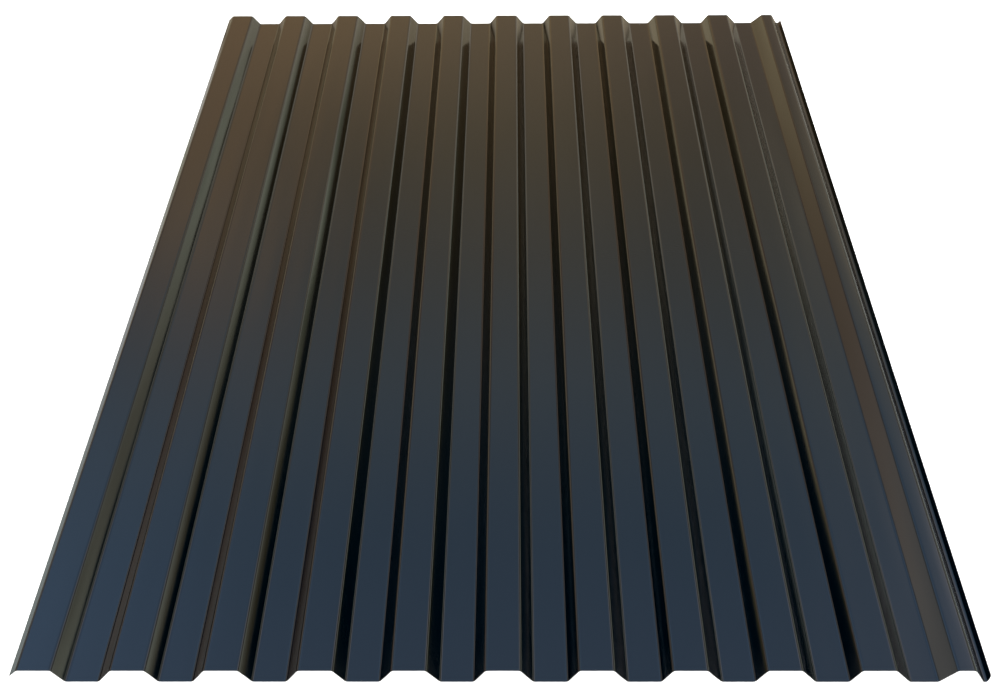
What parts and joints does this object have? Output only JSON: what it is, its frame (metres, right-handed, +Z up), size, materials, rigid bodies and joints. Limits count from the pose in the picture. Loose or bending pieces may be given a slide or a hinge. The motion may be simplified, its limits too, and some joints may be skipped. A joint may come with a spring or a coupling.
{
  "type": "corrugated metal sheet",
  "caption": "Roll-formed trapezoidal steel roofing and cladding sheet in dark gloss coating, with a narrow overlap rib and drip channel along one long edge.",
  "frame": {"origin": "middle of the rectangle that the sheet covers, on the plane that the valleys rest on", "axes": "+Z up out of the painted face, +Y along the ribs, +X across the ribs towards the overlap rib with the drip channel"},
  "size_m": [1.0462, 1.75, 0.0165],
  "materials": {
    "coating": "dark graphite gloss coil coating, grey primer on the back"
  },
  "bodies": {
    "root": {"corrugated_sheet": "coating"}
  },
  "joints": []
}
